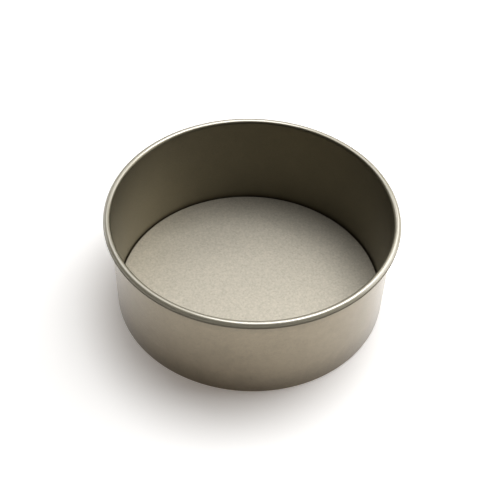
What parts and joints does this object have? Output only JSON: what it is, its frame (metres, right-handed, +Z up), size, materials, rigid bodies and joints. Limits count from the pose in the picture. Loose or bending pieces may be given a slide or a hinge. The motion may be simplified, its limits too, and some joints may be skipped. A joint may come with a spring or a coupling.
{
  "type": "round cake tin",
  "caption": "Deep round cake tin: a slightly tapered wall with a rolled rim, and a loose flat base that rests on a ledge and pushes up to free the cake.",
  "frame": {"origin": "centre of the underside, on the surface that the tin stands on", "axes": "+Z up along the tin's own axis and out of its mouth; the tin is round, so X and Y are free, and the wire's two ends meet at +X"},
  "size_m": [0.188, 0.188, 0.07],
  "materials": {
    "wall_coating": "satin champagne-coloured non-stick coating on pressed steel sheet",
    "base_coating": "the same coating, matt and very finely speckled on the flat base",
    "rim_wire": "plain drawn steel wire"
  },
  "bodies": {
    "tin": {"tin_wall": "wall_coating", "rim_wire": "rim_wire"},
    "base": {"loose_base": "base_coating"}
  },
  "joints": [
    {"name": "base_lift", "type": "slide", "parent": "tin", "child": "base", "axis": [0, 0, 1], "range_m": [0, 0.09]}
  ]
}
